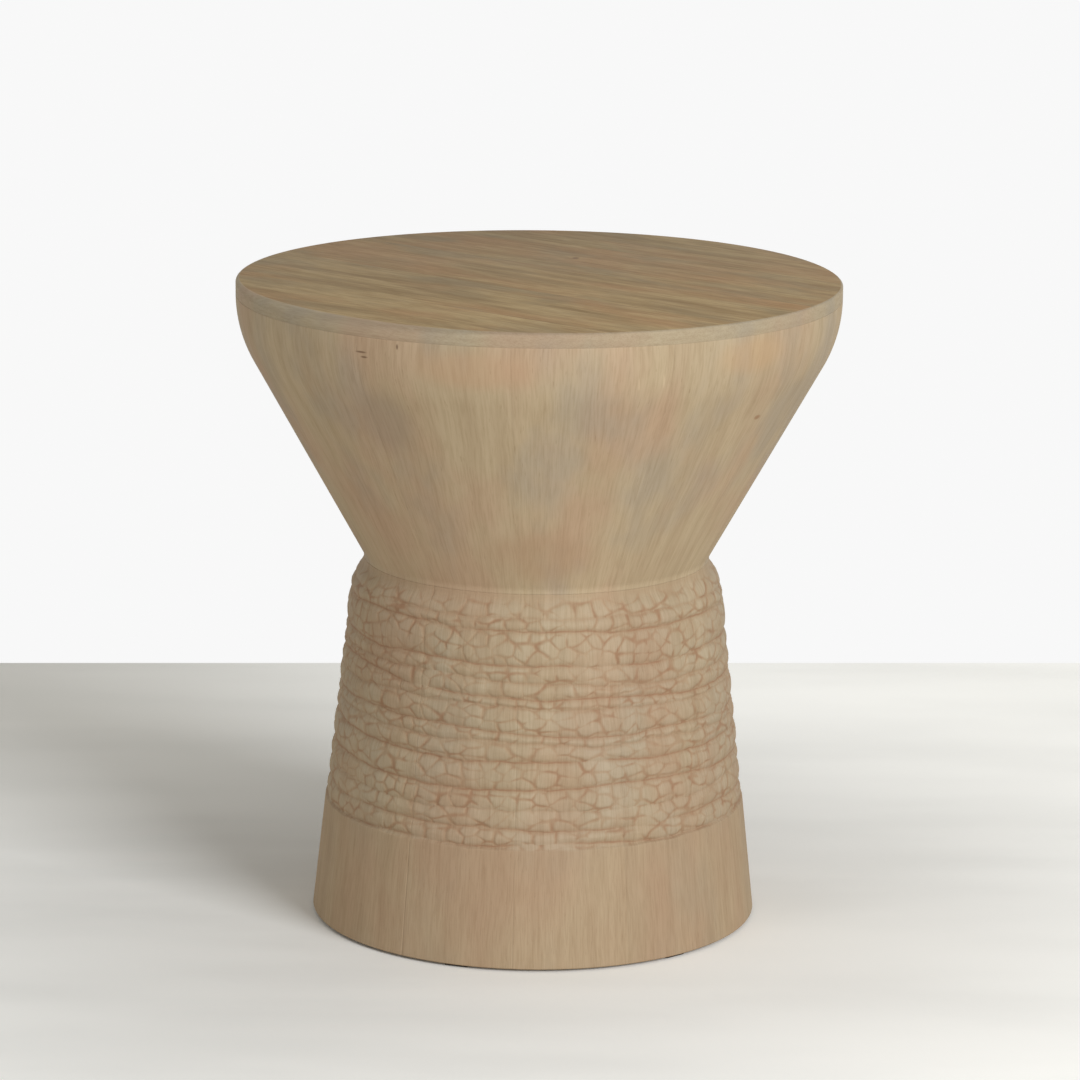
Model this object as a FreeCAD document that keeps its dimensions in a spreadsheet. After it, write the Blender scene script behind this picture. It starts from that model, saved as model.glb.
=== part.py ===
import FreeCAD, Part
import os
import Sketcher

# Pedestal side table: two rings of coopered staves meet at a narrow waist. The upper ring flares to
# a round boarded top, and the lower ring widens to the floor under a band of gouged courses.
# Millimetres and degrees, +Z up, origin on the floor under the centre, front towards -Y.

SIZES = {
    "table_height": 547.0,
    "top_radius": 254.0,
    "lip_thickness": 12.0,
    "plug_depth": 18.0,
    "rim_wall": 25.5,
    "grain_angle": -40.0,
    "rim_round": 110.0,
    "waist_height": 310.0,
    "waist_radius": 148.0,
    "waist_cove": 30.0,
    "waist_wall": 19.7,
    "waist_disc_thickness": 18.0,
    "stave_thickness": 38.0,
    "first_stave_angle": 10.0,
    "shoulder_round": 27.0,
    "shoulder_turn": 38.0,
    "base_radius": 189.5,
    "base_wall": 27.2,
    "base_disc_thickness": 18.0,
    "base_disc_recess": 6.0,
    "band_bottom_height": 100.0,
    "band_recess": 1.0,
    "groove_depth": 1.8,
    "course_wander": 2.4,
    "tongue_thickness": 5.0,
    "tongue_width": 20.0,
    "tongue_depth": 17.0,
    "tongue_end_margin": 24.0,
    "tenon_thickness": 8.0,
    "tenon_width": 30.0,
    "tenon_length": 40.0,
    "pad_size": 20.0,
    "pad_thickness": 2.0,
    "fit_gap": 0.15,
    "cutter_overrun": 5.0,
}
BOARD_COUNT = 5
STAVE_COUNT = 12
COURSE_COUNT = 6
COVE_FLATS = 3
SHOULDER_FLATS = 2
RIM_FLATS = 3
STAVE_ANGLE = 360 / STAVE_COUNT

# Step of phase, in degrees, that keeps neighbouring courses of the carving from wandering alike.
WANDER_PHASE = 137.5

doc = FreeCAD.newDocument("PedestalTable")
sheet = doc.addObject("Spreadsheet::Sheet", "Sizes")
for row, (alias, value) in enumerate(SIZES.items(), start=1):
    sheet.set(f"A{row}", alias)
    sheet.set(f"B{row}", str(value))
    sheet.setAlias(f"B{row}", alias)
doc.recompute()

# Heights of the seats, as expressions on the sheet.
RIM_Z = "(Sizes.table_height - Sizes.lip_thickness)"
LEDGE_Z = f"({RIM_Z} - Sizes.plug_depth)"
JOINT_Z = "Sizes.waist_height"
WAIST_SEAT_HIGH = f"({JOINT_Z} + Sizes.waist_disc_thickness / 2)"
WAIST_SEAT_LOW = f"({JOINT_Z} - Sizes.waist_disc_thickness / 2)"
FOOT_Z = "Sizes.pad_thickness"
BASE_DISC_Z = f"({FOOT_Z} + Sizes.base_disc_recess)"
BASE_SEAT = f"({BASE_DISC_Z} + Sizes.base_disc_thickness)"

# Distances from the axis to the flat seats that the top, the waist disc and the base disc sit in.
RIM_BORE = "(Sizes.top_radius - Sizes.rim_wall)"
WAIST_BORE = "(Sizes.waist_radius - Sizes.waist_wall)"
BASE_BORE = "(Sizes.base_radius - Sizes.base_wall)"

# Width of each board of the top, which together span its diameter.
BOARD_WIDTH = f"(2 * Sizes.top_radius / {BOARD_COUNT})"

# The flare: a straight line tangent to the waist cove below and to the rim round above it. On a low
# flare the round is limited by the flare's height, of which it takes no more than this share.
RIM_ROUND_SHARE = 0.6
ARC_RISE = f"({RIM_Z} - {JOINT_Z})"
RIM_ROUND = f"min(Sizes.rim_round; {RIM_ROUND_SHARE} * {ARC_RISE})"
ARC_RUN = f"(Sizes.waist_radius + Sizes.waist_cove - Sizes.top_radius + {RIM_ROUND})"
ARC_SPAN = f"sqrt({ARC_RUN} ^ 2 + {ARC_RISE} ^ 2)"
FLARE = f"(asin((Sizes.waist_cove + {RIM_ROUND}) / {ARC_SPAN}) - atan({ARC_RUN} / {ARC_RISE}))"
FLARE_START_R = f"(Sizes.waist_radius + Sizes.waist_cove * (1 - cos({FLARE})))"
FLARE_START_Z = f"({JOINT_Z} + Sizes.waist_cove * sin({FLARE}))"

# The shoulder: a hollow and a round of one radius that lead from the waist out to the lower taper.
SHOULDER_R = "(Sizes.waist_radius + 2 * Sizes.shoulder_round * (1 - cos(Sizes.shoulder_turn)))"
SHOULDER_Z = f"({JOINT_Z} - 2 * Sizes.shoulder_round * sin(Sizes.shoulder_turn))"

# The lower taper: a straight line from the foot to the shoulder.
TAPER = f"((Sizes.base_radius - {SHOULDER_R}) / ({SHOULDER_Z} - {FOOT_Z}))"


def flare_radius(height, depth):
    """Radius on the flare at a height, at a depth below the outer face measured square to it."""
    rise = f"({height} - {FLARE_START_Z})"
    return f"({FLARE_START_R} + {rise} * tan({FLARE}) - ({depth}) / cos({FLARE}))"


def taper_radius(height, depth):
    """Radius on the lower taper at a height, at a depth below the outer face measured square to it."""
    rise = f"({height} - {FOOT_Z})"
    return f"(Sizes.base_radius - {TAPER} * {rise} - ({depth}) * sqrt(1 + {TAPER} ^ 2))"


def cove_corner(turn):
    """Corner on the cove over the waist, a turn above its narrowest place."""
    radius = f"(Sizes.waist_radius + Sizes.waist_cove * (1 - cos({turn})))"
    return radius, f"({JOINT_Z} + Sizes.waist_cove * sin({turn}))"


def rim_corner(turn):
    """Corner on the rim round, a turn below its widest place."""
    radius = f"(Sizes.top_radius - {RIM_ROUND} * (1 - cos({turn})))"
    return radius, f"({RIM_Z} - {RIM_ROUND} * sin({turn}))"


def evaluate(expression):
    """Number that an expression on the sheet has now."""
    value = sheet.evalExpression(expression)
    return float(getattr(value, "Value", value))


def outline(body, name, corners):
    """Closed sketch on the body's XZ plane through corners given as (radius, height) expressions."""
    sketch = body.newObject("Sketcher::SketchObject", name)
    plane = next(feature for feature in body.Origin.OriginFeatures if feature.Role == "XZ_Plane")
    sketch.AttachmentSupport = [(plane, "")]
    sketch.MapMode = "FlatFace"
    points = [FreeCAD.Vector(evaluate(radius), evaluate(height), 0) for radius, height in corners]
    following = points[1:] + points[:1]
    for start, end in zip(points, following):
        sketch.addGeometry(Part.LineSegment(start, end), False)
    for edge in range(len(points)):
        sketch.addConstraint(Sketcher.Constraint("Coincident", edge, 2, (edge + 1) % len(points), 1))
    for edge, (radius, height) in enumerate(corners):
        bind(sketch, ("DistanceX", -1, 1, edge, 1, points[edge].x), radius)
        bind(sketch, ("DistanceY", -1, 1, edge, 1, points[edge].y), height)
    return sketch


def bind(sketch, constraint, expression):
    """Add a dimension to a sketch and tie its value to an expression."""
    index = sketch.addConstraint(Sketcher.Constraint(*constraint))
    sketch.setExpression(f"Constraints[{index}]", expression)


def stave_blank(name, outer, inner):
    """Stave at +X: turned to its outer outline, then sawn flat along its hollow side.

    outer and inner run from the stave's lower end to its upper end; inner is the stepped line of the flat
    face and of the rabbets at its ends.
    """
    body = doc.addObject("PartDesign::Body", name)
    low_radius, low = inner[0]
    high_radius, high = inner[-1]
    rough = [(f"{high_radius} / 2", high), (f"{low_radius} / 2", low)]
    profile = outline(body, f"{name}_outline", outer + rough)
    revolution = body.newObject("PartDesign::Revolution", f"{name}_turning")
    revolution.Profile = profile
    revolution.ReferenceAxis = (profile, ["V_Axis"])
    revolution.Angle = STAVE_ANGLE
    revolution.Midplane = True
    below = f"{low} - Sizes.cutter_overrun"
    above = f"{high} + Sizes.cutter_overrun"
    waste = [(low_radius, below)] + inner[1:-1] + [(high_radius, above)]
    waste += [(f"{high_radius} / 4", above), (f"{low_radius} / 4", below)]
    pocket = body.newObject("PartDesign::Pocket", f"{name}_flat")
    pocket.Profile = outline(body, f"{name}_flat_outline", waste)
    pocket.Type = "ThroughAll"
    pocket.SideType = "Symmetric"
    doc.recompute()
    if pocket.Shape.Volume >= revolution.Shape.Volume:
        raise RuntimeError(f"{name}: the flat inner face took nothing off")
    return body


def slab(name, corners, width):
    """Body of an outline in the XZ plane, padded to a width centred on that plane."""
    body = doc.addObject("PartDesign::Body", name)
    profile = outline(body, f"{name}_outline", corners)
    pad = body.newObject("PartDesign::Pad", f"{name}_pad")
    pad.Profile = profile
    pad.SideType = "Symmetric"
    pad.setExpression("Length", width)
    doc.recompute()
    return body


def rotation(axis, angle):
    """Expression of a turn about an axis."""
    x, y, z = axis
    return f"create(<<rotation>>; create(<<vector>>; {x}; {y}; {z}); {angle})"


def place(item, position, turn):
    """Tie an object's Placement to expressions of its position and its turn."""
    x, y, z = position
    point = f"create(<<vector>>; {x}; {y}; {z})"
    item.setExpression("Placement", f"create(<<placement>>; {point}; {turn})")


def copy_round(source, label, angle, radius="0", height="0"):
    """Linked copy of a source, set at an angle about Z and moved out to a radius and a height."""
    link = doc.addObject("App::Link", label)
    link.LinkedObject = source
    link.Label = label
    place(link, (f"{radius} * cos({angle})", f"{radius} * sin({angle})", height), rotation((0, 0, 1), angle))
    return link


def cylinder(name, radius, height):
    """Upright cylinder at the origin with its sizes tied to expressions."""
    item = doc.addObject("Part::Cylinder", name)
    item.setExpression("Radius", radius)
    item.setExpression("Height", height)
    return item


def box(name, sizes, corner):
    """Box along the axes with its sizes and its lowest corner tied to expressions."""
    item = doc.addObject("Part::Box", name)
    for side, size in zip(("Length", "Width", "Height"), sizes):
        item.setExpression(side, size)
    place(item, corner, rotation((0, 0, 1), 0))
    return item


def panel(name, seat, low, height, turn):
    """Twelve-sided panel with a flat side against each stave's seat, lying at a height."""
    item = doc.addObject("Part::Prism", name)
    item.Polygon = STAVE_COUNT
    item.setExpression("Circumradius", f"({seat} - Sizes.fit_gap) / cos({STAVE_ANGLE / 2})")
    item.setExpression("Height", height)
    place(item, (0, 0, low), rotation((0, 0, 1), turn))
    return item


def group(name, items):
    """Separate solids held together as one object."""
    compound = doc.addObject("Part::Compound", name)
    compound.Links = items
    compound.Label = name
    return compound


def boolean(kind, name, base, tool):
    """Boolean operation of a kind on two objects."""
    result = doc.addObject(kind, name)
    result.Base = base
    result.Tool = tool
    result.Label = name
    return result


def stave_angle(number, steps=0.0):
    """Expression of the angle of a stave's centre, or of a place that many staves further round."""
    return f"(Sizes.first_stave_angle + {STAVE_ANGLE * (number + steps)})"


def numbered_copies(source, label, numbers):
    """Linked copies of a source made at +X, turned to the centres of the numbered staves."""
    return [copy_round(source, f"{label}_{number + 1:02d}", stave_angle(number)) for number in numbers]


def make_top():
    """Five edge-glued boards, cut to a round lip over a twelve-sided plug, and the tongues between them."""
    lip = cylinder("top_lip", "Sizes.top_radius", "Sizes.lip_thickness")
    place(lip, (0, 0, RIM_Z), rotation((0, 0, 1), 0))
    turn = f"{stave_angle(0, 0.5)} - Sizes.grain_angle"
    plug = panel("top_plug", RIM_BORE, LEDGE_Z, "Sizes.plug_depth", turn)
    blank = boolean("Part::Fuse", "top_blank", lip, plug)
    slots = top_tongue_set("top_slot", "Sizes.fit_gap")
    boards = []
    for number in range(BOARD_COUNT):
        sawn = boolean("Part::Common", f"top_board_sawn_{number + 1}", blank, board_strip(number))
        slotted = boolean("Part::Cut", f"top_board_slotted_{number + 1}", sawn, slots)
        boards.append(copy_round(slotted, f"top_board_{number + 1}", "Sizes.grain_angle"))
    strips = top_tongue_set("top_tongue", "0")
    return boards + [copy_round(strips, "top_tongues", "Sizes.grain_angle")]


def board_strip(number):
    """Box round one board, with its grain along X; the outer boards run past the rim."""
    reach = "(Sizes.top_radius + Sizes.cutter_overrun)"
    low = f"{number - BOARD_COUNT / 2} * {BOARD_WIDTH}"
    width = BOARD_WIDTH
    if number == 0:
        low = f"-{reach}"
    if number in (0, BOARD_COUNT - 1):
        width = f"{reach} - {BOARD_COUNT / 2 - 1} * {BOARD_WIDTH}"
    height = "Sizes.lip_thickness + Sizes.plug_depth"
    return box(f"board_strip_{number + 1}", (f"2 * {reach}", width, height), (f"-{reach}", low, LEDGE_Z))


def top_tongue_set(name, gap):
    """Stopped tongues along the joints between the boards, or with a gap the slots for them."""
    width = f"(Sizes.tongue_width + 2 * {gap})"
    thickness = f"(Sizes.tongue_thickness + 2 * {gap})"
    middle = f"({LEDGE_Z} + (Sizes.lip_thickness + Sizes.plug_depth) / 2)"
    strips = []
    for joint in range(1, BOARD_COUNT):
        across = f"({joint - BOARD_COUNT / 2} * {BOARD_WIDTH})"
        outer = f"({abs(joint - BOARD_COUNT / 2)} * {BOARD_WIDTH} + Sizes.tongue_width / 2)"
        half = f"(sqrt({RIM_BORE} ^ 2 - {outer} ^ 2) - Sizes.tongue_end_margin + {gap})"
        corner = (f"-{half}", f"{across} - {width} / 2", f"{middle} - {thickness} / 2")
        strips.append(box(f"{name}_{joint}", (f"2 * {half}", width, thickness), corner))
    return group(f"{name}_set", strips)


def tongue(name, line, low, high, gap):
    """Loose tongue, or with a gap its slot, in the XZ plane along a stave's slope."""
    half = f"(Sizes.tongue_thickness / 2 + {gap})"
    bottom = f"({low} - {gap})"
    head = f"({high} + {gap})"
    corners = [
        (line(bottom, f"Sizes.tongue_depth + {half}"), bottom),
        (line(bottom, f"Sizes.tongue_depth - {half}"), bottom),
        (line(head, f"Sizes.tongue_depth - {half}"), head),
        (line(head, f"Sizes.tongue_depth + {half}"), head),
    ]
    return slab(name, corners, f"Sizes.tongue_width + 2 * {gap}")


def tenon(name, gap):
    """Loose tenon across the waist joint, or with a gap the mortise for it in both staves."""
    middle = "(Sizes.waist_radius - Sizes.waist_wall / 2)"
    half = f"(Sizes.tenon_thickness / 2 + {gap})"
    reach = f"(Sizes.tenon_length / 2 + {gap})"
    corners = [
        (f"{middle} - {half}", f"{JOINT_Z} - {reach}"),
        (f"{middle} + {half}", f"{JOINT_Z} - {reach}"),
        (f"{middle} + {half}", f"{JOINT_Z} + {reach}"),
        (f"{middle} - {half}", f"{JOINT_Z} + {reach}"),
    ]
    return slab(name, corners, f"Sizes.tenon_width + 2 * {gap}")


def stave_sockets(name, slot, mortise):
    """Cutters for one stave: a tongue slot on each mitred side and the mortise in its end."""
    left = copy_round(slot, f"{name}_slot_left", STAVE_ANGLE / 2)
    right = copy_round(slot, f"{name}_slot_right", -STAVE_ANGLE / 2)
    return group(f"{name}_sockets", [left, right, mortise])


def tongue_ring(label, strip):
    """Tongues of one ring, each standing in the joint between two staves."""
    joints = [stave_angle(number, 0.5) for number in range(STAVE_COUNT)]
    strips = [copy_round(strip, f"{label}_{number}", angle) for number, angle in enumerate(joints, start=1)]
    return group(label, strips)


def make_upper_ring(mortise):
    """Twelve flared staves, from the waist to the rim, and the tongues between them."""
    cove = [cove_corner(f"{FLARE} * {flat / COVE_FLATS}") for flat in range(COVE_FLATS + 1)]
    rim = [rim_corner(f"{FLARE} * {flat / RIM_FLATS}") for flat in range(RIM_FLATS, -1, -1)]
    inner = [
        (WAIST_BORE, JOINT_Z),
        (WAIST_BORE, WAIST_SEAT_HIGH),
        (flare_radius(WAIST_SEAT_HIGH, "Sizes.stave_thickness"), WAIST_SEAT_HIGH),
        (flare_radius(LEDGE_Z, "Sizes.stave_thickness"), LEDGE_Z),
        (RIM_BORE, LEDGE_Z),
        (RIM_BORE, RIM_Z),
    ]
    blank = stave_blank("upper_stave_blank", cove + rim, inner)
    low = f"({WAIST_SEAT_HIGH} + Sizes.tongue_end_margin)"
    high = f"({LEDGE_Z} - Sizes.tongue_end_margin)"
    return stave_ring("upper", blank, flare_radius, low, high, mortise)


def stave_ring(name, blank, line, low, high, mortise):
    """Twelve staves cut for their joints, and the tongues that stand along a line between two heights."""
    slot = tongue(f"{name}_slot", line, low, high, "Sizes.fit_gap")
    sockets = stave_sockets(name, slot, mortise)
    stave = boolean("Part::Cut", f"{name}_stave_source", blank, sockets)
    staves = numbered_copies(stave, f"{name}_stave", range(STAVE_COUNT))
    return staves + [tongue_ring(f"{name}_tongues", tongue(f"{name}_tongue", line, low, high, "0"))]


def make_waist():
    """Stiffening disc let into both rings at the waist, and the tenons that key the rings together."""
    turn = stave_angle(0, 0.5)
    disc = panel("waist_disc", WAIST_BORE, WAIST_SEAT_LOW, "Sizes.waist_disc_thickness", turn)
    peg = tenon("waist_tenon_source", "0")
    return [disc, group("waist_tenons", numbered_copies(peg, "waist_tenon", range(STAVE_COUNT)))]


def shoulder_corners():
    """Corners of the shoulder, from the lower taper up to the waist: first its round, then its hollow."""
    turns = [f"Sizes.shoulder_turn * {flat / SHOULDER_FLATS}" for flat in range(SHOULDER_FLATS + 1)]
    corners = []
    for turn in turns:
        radius = f"({SHOULDER_R} - Sizes.shoulder_round * (1 - cos({turn})))"
        corners.append((radius, f"({SHOULDER_Z} + Sizes.shoulder_round * sin({turn}))"))
    for turn in turns[-2::-1]:
        radius = f"(Sizes.waist_radius + Sizes.shoulder_round * (1 - cos({turn})))"
        corners.append((radius, f"({JOINT_Z} - Sizes.shoulder_round * sin({turn}))"))
    return corners


def carved_courses():
    """Corners of the carved band from its lower border up: each course rises to a crest and falls."""
    pitch = f"(({SHOULDER_Z} - Sizes.band_bottom_height) / {COURSE_COUNT})"
    corners = []
    for half_course in range(2 * COURSE_COUNT):
        wander = f"Sizes.course_wander * sin({WANDER_PHASE * half_course})"
        height = f"(Sizes.band_bottom_height + {pitch} * {half_course / 2} + {wander})"
        depth = "Sizes.band_recess"
        if half_course % 2 == 0:
            depth = "Sizes.band_recess + Sizes.groove_depth"
        corners.append((taper_radius(height, depth), height))
    return corners


def make_lower_ring(mortise):
    """Twelve tapered staves from the floor to the waist, carved round their middle, and their tongues."""
    border = "Sizes.band_bottom_height"
    foot = [("Sizes.base_radius", FOOT_Z), (taper_radius(border, "0"), border)]
    inner = [
        (BASE_BORE, FOOT_Z),
        (BASE_BORE, BASE_SEAT),
        (taper_radius(BASE_SEAT, "Sizes.stave_thickness"), BASE_SEAT),
        (taper_radius(WAIST_SEAT_LOW, "Sizes.stave_thickness"), WAIST_SEAT_LOW),
        (WAIST_BORE, WAIST_SEAT_LOW),
        (WAIST_BORE, JOINT_Z),
    ]
    blank = stave_blank("lower_stave_blank", foot + carved_courses() + shoulder_corners(), inner)
    low = f"({BASE_SEAT} + Sizes.tongue_end_margin)"
    high = f"({WAIST_SEAT_LOW} - Sizes.tongue_end_margin)"
    return stave_ring("lower", blank, taper_radius, low, high, mortise)


def make_base():
    """Panel glued into the rabbet at the foot, and felt pads on the floor under every other stave."""
    turn = stave_angle(0, 0.5)
    disc = panel("base_disc", BASE_BORE, BASE_DISC_Z, "Sizes.base_disc_thickness", turn)
    middle = "(Sizes.base_radius - Sizes.base_wall / 2)"
    half = "Sizes.pad_size / 2"
    corners = [
        (f"{middle} - {half}", "0"),
        (f"{middle} + {half}", "0"),
        (f"{middle} + {half}", FOOT_Z),
        (f"{middle} - {half}", FOOT_Z),
    ]
    felt = slab("felt_pad_source", corners, "Sizes.pad_size")
    return [disc, group("felt_pads", numbered_copies(felt, "felt_pad", range(0, STAVE_COUNT, 2)))]


def write_parts(nodes):
    """Check every object of the document, then write each sub-part to its own file."""
    doc.recompute()
    failed = [item.Name for item in doc.Objects if {"Invalid", "Error"} & set(item.State)]
    if failed:
        raise RuntimeError(f"objects that failed: {failed}")
    for node in nodes:
        shape = Part.getShape(node)
        if shape.isNull() or not shape.isValid():
            raise RuntimeError(f"{node.Label}: the shape is null or not valid")
    os.makedirs("parts", exist_ok=True)
    for node in nodes:
        Part.getShape(node).exportStep(f"parts/{node.Label}.step")
    print(f"{len(nodes)} sub-parts written")


waist_mortise = tenon("waist_mortise", "Sizes.fit_gap")
rings = make_upper_ring(waist_mortise) + make_waist() + make_lower_ring(waist_mortise)
write_parts(make_top() + rings + make_base())
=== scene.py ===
import logging
import math
from dataclasses import dataclass, field
from enum import Enum

import bpy
import numpy as np
from mathutils import Matrix, Vector


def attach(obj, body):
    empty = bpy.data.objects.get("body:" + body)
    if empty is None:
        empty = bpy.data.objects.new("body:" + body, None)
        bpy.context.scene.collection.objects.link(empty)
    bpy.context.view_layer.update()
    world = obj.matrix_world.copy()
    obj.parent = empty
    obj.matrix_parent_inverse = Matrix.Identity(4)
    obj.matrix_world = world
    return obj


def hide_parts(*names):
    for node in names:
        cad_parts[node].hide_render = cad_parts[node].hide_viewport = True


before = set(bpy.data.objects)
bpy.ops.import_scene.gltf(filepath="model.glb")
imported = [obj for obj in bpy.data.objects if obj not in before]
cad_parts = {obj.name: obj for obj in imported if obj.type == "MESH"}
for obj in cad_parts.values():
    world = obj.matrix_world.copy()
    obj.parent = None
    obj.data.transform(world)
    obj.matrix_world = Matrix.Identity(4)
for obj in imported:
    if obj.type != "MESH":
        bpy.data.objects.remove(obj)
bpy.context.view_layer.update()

log = logging.getLogger("pedestal_table")

Colour = tuple[float, float, float]
Point = tuple[float, float, float]
Material = bpy.types.Material
Node = bpy.types.Node
Piece = bpy.types.Object
Socket = bpy.types.NodeSocket
Tree = bpy.types.NodeTree

BODY = "root"
MM = 0.001


class Slot(Enum):
    """Material slots of the record for the pieces made here, which hand_over is given but doesn't set."""

    TOP = "top_wood"
    FLARE = "flare_wood"
    CARVED = "carved_wood"
    FELT = "felt"


class Clouds(Enum):
    """What the soft patches of tone in a wood follow."""

    TABLE = "table"
    BOARD = "board"


def linear(colour: Colour) -> tuple[float, float, float, float]:
    """Linear colour with an alpha of 1, as sockets take it, for display values from 0 to 255."""
    shares = [part / 255 for part in colour]
    return *(share / 12.92 if share < 0.0404 else ((share + 0.055) / 1.055) ** 2.4 for share in shares), 1.0


class Field:
    """Output of a node, which arithmetic joins to other outputs and to numbers through new nodes."""

    def __init__(self, graph: "Graph", socket: Socket) -> None:
        """Keep the output and the graph that new nodes go to."""
        self.graph = graph
        self.socket = socket

    def __add__(self, other: "Value") -> "Field":
        """Sum of this and another value."""
        return self.graph.math("ADD", self, other)

    def __sub__(self, other: "Value") -> "Field":
        """This less another value."""
        return self.graph.math("SUBTRACT", self, other)

    def __mul__(self, other: "Value") -> "Field":
        """Product of this and another value."""
        return self.graph.math("MULTIPLY", self, other)


Value = Field | float | tuple


class Graph:
    """Adds and joins the nodes of one tree."""

    def __init__(self, tree: Tree) -> None:
        """Keep the tree to add to."""
        self.tree = tree

    @staticmethod
    def pick(sockets: bpy.types.bpy_prop_collection, key: str | int) -> Socket:
        """Find a socket by its place, or by its name among those that the node's settings leave in use."""
        named = (socket for socket in sockets if socket.name == key and socket.enabled)
        return sockets[key] if isinstance(key, int) else next(named)

    def feed(self, node: Node, inputs: dict) -> None:
        """Set inputs of a node.

        Args:
            node: The node.
            inputs: A value or a field for each input, by its name or its place.
        """
        for key, value in inputs.items():
            target = self.pick(node.inputs, key)
            if isinstance(value, Field):
                self.tree.links.new(value.socket, target)
            else:
                target.default_value = value

    def add(self, kind: str, inputs: dict | None = None, **settings: object) -> Node:
        """Add a node to the tree.

        Args:
            kind: Type of the node.
            inputs: A value or a field for each input, by its name or its place.
            settings: Properties of the node.

        Returns:
            The new node.
        """
        node = self.tree.nodes.new(kind)
        for name, value in settings.items():
            setattr(node, name, value)
        self.feed(node, inputs or {})
        return node

    def field(
        self, kind: str, inputs: dict | None = None, output: str | int = 0, **settings: object
    ) -> Field:
        """Add a node and take one of its outputs."""
        return Field(self, self.pick(self.add(kind, inputs, **settings).outputs, output))

    def outputs(self, kind: str, inputs: dict | None = None) -> dict[str, Field]:
        """Add a node and take all its outputs by their names."""
        return {socket.name: Field(self, socket) for socket in self.add(kind, inputs).outputs}

    def math(self, operation: str, *values: Value) -> Field:
        """Join values by one operation of arithmetic."""
        return self.field("ShaderNodeMath", dict(enumerate(values)), operation=operation)

    def vector(self, operation: str, *values: Value) -> Field:
        """Join vectors by one operation of arithmetic."""
        return self.field("ShaderNodeVectorMath", dict(enumerate(values)), operation=operation)

    def scaled(self, vector: Value, factor: Value) -> Field:
        """Multiply a vector by a number."""
        return self.field("ShaderNodeVectorMath", {0: vector, "Scale": factor}, operation="SCALE")

    def length(self, vector: Value) -> Field:
        """Measure a vector."""
        return self.field("ShaderNodeVectorMath", {0: vector}, "Value", operation="LENGTH")

    def ease(self, value: Field, low: float, high: float, first: float = 0.0, last: float = 1.0) -> Field:
        """Go smoothly from the first number to the last while a value goes from low to high."""
        inputs = {"Value": value, "From Min": low, "From Max": high, "To Min": first, "To Max": last}
        return self.field("ShaderNodeMapRange", inputs, interpolation_type="SMOOTHSTEP")

    def noise(
        self, vector: Value, scale: float, detail: float, shift: Value = 0.0, output: str | int = 0
    ) -> Field:
        """Soft random pattern in space, moved along a fourth direction by shift."""
        inputs = {"Vector": vector, "Scale": scale, "Detail": detail, "W": shift}
        return self.field("ShaderNodeTexNoise", inputs, output, noise_dimensions="4D")

    def mix(self, factor: Value, first: Value, second: Value, blend: str = "MIX") -> Field:
        """Blend two colours, where the factor is the share of the second."""
        inputs = {"Factor": factor, "A": first, "B": second}
        return self.field("ShaderNodeMix", inputs, "Result", data_type="RGBA", blend_type=blend)

    def attribute(self, name: str, output: str = "Fac") -> Field:
        """Read a named attribute of the mesh in a material."""
        return self.field("ShaderNodeAttribute", None, output, attribute_name=name)

    def place(self) -> Field:
        """Read the position on the table in a material."""
        return self.field("ShaderNodeTexCoord", None, "Object")

    def bump(self, height: Field, strength: float, distance: float) -> Field:
        """Tilt a material's surface by a fine relief."""
        return self.field("ShaderNodeBump", {"Height": height, "Strength": strength, "Distance": distance})


def new_material(name: str) -> tuple[Material, Graph, Node]:
    """Start a material with one principled shader.

    Args:
        name: Name of the material.

    Returns:
        The material, its graph and its shader node.
    """
    material = bpy.data.materials.new(name)
    material.use_nodes = True
    shader = next(node for node in material.node_tree.nodes if node.type == "BSDF_PRINCIPLED")
    return material, Graph(material.node_tree), shader


@dataclass(frozen=True)
class Blemish:
    """One mark in the wood, in metres: a knot, a check, a scratch or a broad soft stain."""

    place: Point
    reach: Point
    colour: Colour
    strength: float

    def share(self, graph: Graph) -> Field:
        """Share of the mark in the colour of the wood, which fades out from its middle."""
        apart = graph.vector("DIVIDE", graph.vector("SUBTRACT", graph.place(), self.place), self.reach)
        return graph.ease(graph.length(apart), 0.35, 1.0, self.strength, 0.0)


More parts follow.
